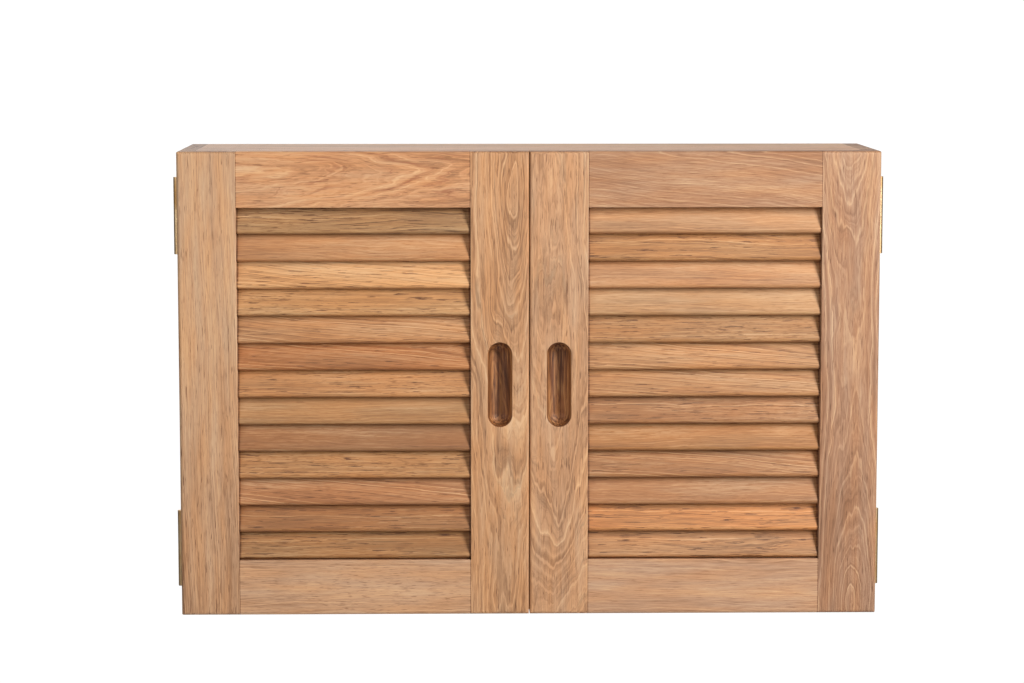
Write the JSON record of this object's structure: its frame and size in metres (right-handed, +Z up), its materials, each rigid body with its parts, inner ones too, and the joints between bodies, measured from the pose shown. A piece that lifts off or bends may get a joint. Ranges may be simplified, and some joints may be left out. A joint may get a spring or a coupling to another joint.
{
  "type": "hanging wall cabinet",
  "caption": "Wall-hung wooden storage cabinet with side-hinged louvred doors, finger pulls cut into the meeting stiles, an inner shelf and a hanging rail.",
  "frame": {"origin": "midway between the two wall-screw holes, on the wall plane", "axes": "+Z up, +X to the right of a person who faces the cabinet, +Y into the wall; the doors face -Y"},
  "size_m": [0.7, 0.165, 0.46],
  "materials": {
    "teak_doors": "planed and thinly oiled teak",
    "teak_slats": "planed and thinly oiled teak",
    "teak_carcass": "planed and thinly oiled teak",
    "beech_dowels": "bare beech",
    "brass": "plain solid brass, slightly dulled",
    "steel_strikes": "zinc-plated steel",
    "magnets": "dark sintered magnet",
    "brown_plastic": "moulded, matt"
  },
  "bodies": {
    "carcass": {"back_panel": "teak_carcass", "bottom_panel": "teak_carcass", "carcass_dowels": "beech_dowels", "carcass_screws": "brass", "catch_magnets": "magnets", "hanging_rail": "teak_carcass", "hinge_pins": "brass", "left_catch": "brown_plastic", "left_lower_carcass_leaf": "brass", "left_side_panel": "teak_carcass", "left_upper_carcass_leaf": "brass", "right_catch": "brown_plastic", "right_lower_carcass_leaf": "brass", "right_side_panel": "teak_carcass", "right_upper_carcass_leaf": "brass", "shelf": "teak_carcass", "top_panel": "teak_carcass"},
    "left_door": {"left_bottom_rail": "teak_doors", "left_door_screws": "brass", "left_lower_door_leaf": "brass", "left_meeting_stile": "teak_doors", "left_outer_stile": "teak_doors", "left_slat_01": "teak_slats", "left_slat_02": "teak_slats", "left_slat_03": "teak_slats", "left_slat_04": "teak_slats", "left_slat_05": "teak_slats", "left_slat_06": "teak_slats", "left_slat_07": "teak_slats", "left_slat_08": "teak_slats", "left_slat_09": "teak_slats", "left_slat_10": "teak_slats", "left_slat_11": "teak_slats", "left_slat_12": "teak_slats", "left_slat_13": "teak_slats", "left_strike": "steel_strikes", "left_top_rail": "teak_doors", "left_upper_door_leaf": "brass"},
    "right_door": {"right_bottom_rail": "teak_doors", "right_door_screws": "brass", "right_lower_door_leaf": "brass", "right_meeting_stile": "teak_doors", "right_outer_stile": "teak_doors", "right_slat_01": "teak_slats", "right_slat_02": "teak_slats", "right_slat_03": "teak_slats", "right_slat_04": "teak_slats", "right_slat_05": "teak_slats", "right_slat_06": "teak_slats", "right_slat_07": "teak_slats", "right_slat_08": "teak_slats", "right_slat_09": "teak_slats", "right_slat_10": "teak_slats", "right_slat_11": "teak_slats", "right_slat_12": "teak_slats", "right_slat_13": "teak_slats", "right_strike": "steel_strikes", "right_top_rail": "teak_doors", "right_upper_door_leaf": "brass"}
  },
  "joints": [
    {"name": "left_door_hinge", "type": "hinge", "parent": "carcass", "child": "left_door", "pos_m": [-0.34675, -0.1422, -0.182], "axis": [0, 0, -1], "range_deg": [0, 180]},
    {"name": "right_door_hinge", "type": "hinge", "parent": "carcass", "child": "right_door", "pos_m": [0.34675, -0.1422, -0.182], "axis": [0, 0, 1], "range_deg": [0, 180]}
  ]
}
